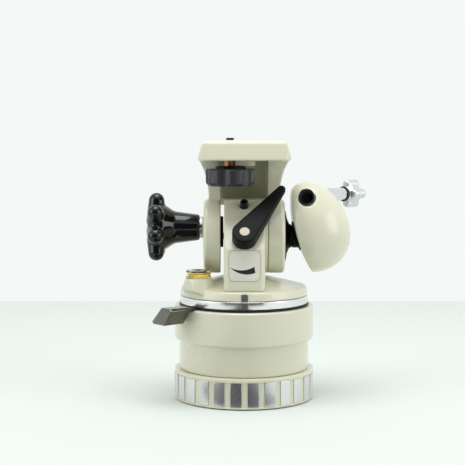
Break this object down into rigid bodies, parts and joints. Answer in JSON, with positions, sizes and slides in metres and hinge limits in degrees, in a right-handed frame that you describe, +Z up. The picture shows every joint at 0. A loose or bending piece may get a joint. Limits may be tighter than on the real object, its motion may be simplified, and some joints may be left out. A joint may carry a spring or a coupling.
{
  "type": "pan and tilt head",
  "caption": "Pan and tilt head with a drum base, tilting camera platform, star brake knob, drag lever and egg-shaped pan bar holder.",
  "frame": {"origin": "centre of the foot's lower face, on the pan axis, at the mouth of the tripod thread", "axes": "+Z up along the pan axis, X along the tilt axis with the star brake knob at -X, the operator and the pan bar at -Y"},
  "size_m": [0.1623, 0.1007, 0.1866],
  "materials": {
    "paint": "satin beige enamel",
    "cast_plate": "as machined",
    "steel": "machined",
    "bright_steel": "plated",
    "bronze": "turned bronze",
    "copper_brass": "turned",
    "turned_aluminium": "turned bright",
    "mark": "filled engraving",
    "black_metal": "black enamel",
    "black_gloss": "polished bakelite",
    "black_matte": "moulded",
    "black_rubber": "matt",
    "ivory": "moulded",
    "clear_vial": "clear acrylic",
    "yellow_liquid": "tinted liquid",
    "label": "silver-grey foil label"
  },
  "bodies": {
    "base": {"base_housing": "paint", "base_plate": "cast_plate", "tripod_insert": "steel", "base_screws": "steel", "pan_bushes": "bronze", "pan_drag_stators": "bronze", "scale_ring": "turned_aluminium", "zero_mark": "mark"},
    "grip": {"grip_ring": "turned_aluminium"},
    "pan_lock": {"pan_brake_ring": "black_metal", "pan_lock_lever": "black_gloss"},
    "pan_head": {"pan_spindle": "steel", "pan_drag_rotors": "steel", "spindle_nut": "steel", "thrust_washer": "bronze", "pan_cap": "paint", "pan_index": "mark", "level_vial": "clear_vial", "level_liquid": "yellow_liquid", "level_target": "black_gloss", "pillar": "paint", "pillar_screws": "steel", "drag_label": "label", "stop_screw": "black_metal", "tilt_axle": "steel", "tilt_drag_cover": "paint", "drag_cover_screws": "steel", "tilt_drag_stators": "steel"},
    "drag_lever": {"tilt_lever": "black_matte", "lever_cap": "ivory", "lever_spindle": "steel"},
    "yoke": {"tilt_yoke": "paint", "friction_plate": "black_rubber", "axle_bush": "bronze", "tilt_drag_rotor": "bronze", "handle_rosette": "black_metal", "rosette_screws": "steel"},
    "brake": {"brake_knob": "black_gloss", "brake_collar": "bright_steel", "brake_screw": "steel"},
    "holder": {"holder_front": "paint", "holder_rear": "paint", "holder_hub": "black_metal", "bar_bush": "black_metal", "holder_bolt": "steel", "holder_screws": "steel"},
    "clamp": {"clamp_shaft": "bright_steel", "clamp_ring": "black_rubber", "clamp_knob": "turned_aluminium"},
    "slide": {"slide_block": "ivory", "screw_bush": "copper_brass"},
    "camera_screw": {"camera_knob": "black_matte", "camera_collar": "black_metal", "camera_stud": "steel"}
  },
  "joints": [
    {"name": "grip_ring_turn", "type": "hinge", "parent": "base", "child": "grip", "pos_m": [0, 0, 0], "axis": [0, 0, 1], "continuous": true},
    {"name": "pan_lock_swing", "type": "hinge", "parent": "base", "child": "pan_lock", "pos_m": [0, 0, 0], "axis": [0, 0, 1], "range_deg": [-15, 25]},
    {"name": "pan_turn", "type": "hinge", "parent": "base", "child": "pan_head", "pos_m": [0, 0, 0], "axis": [0, 0, 1], "continuous": true},
    {"name": "drag_lever_swing", "type": "hinge", "parent": "pan_head", "child": "drag_lever", "pos_m": [0, -0.03676, 0.11624], "axis": [0, -0.766, 0.6428], "range_deg": [-165, 0]},
    {"name": "tilt", "type": "hinge", "parent": "pan_head", "child": "yoke", "pos_m": [0, 0, 0.1162], "axis": [-1, 0, 0], "range_deg": [-12, 85]},
    {"name": "brake_knob_turn", "type": "hinge", "parent": "yoke", "child": "brake", "pos_m": [-0.04, 0, 0.1224], "axis": [1, 0, 0], "continuous": true},
    {"name": "holder_swivel", "type": "hinge", "parent": "yoke", "child": "holder", "pos_m": [0.036, 0, 0.1162], "axis": [-1, 0, 0], "range_deg": [-55, 55]},
    {"name": "clamp_screw_turn", "type": "hinge", "parent": "holder", "child": "clamp", "pos_m": [0.0439, 0.002, 0.145], "axis": [0.7071, 0.7071, 0], "continuous": true},
    {"name": "camera_screw_slide", "type": "slide", "parent": "yoke", "child": "slide", "axis": [1, 0, 0], "range_m": [0, 0.012]},
    {"name": "camera_screw_turn", "type": "hinge", "parent": "slide", "child": "camera_screw", "pos_m": [-0.01, -0.0226, 0.16], "axis": [0, 0, 1], "continuous": true}
  ]
}
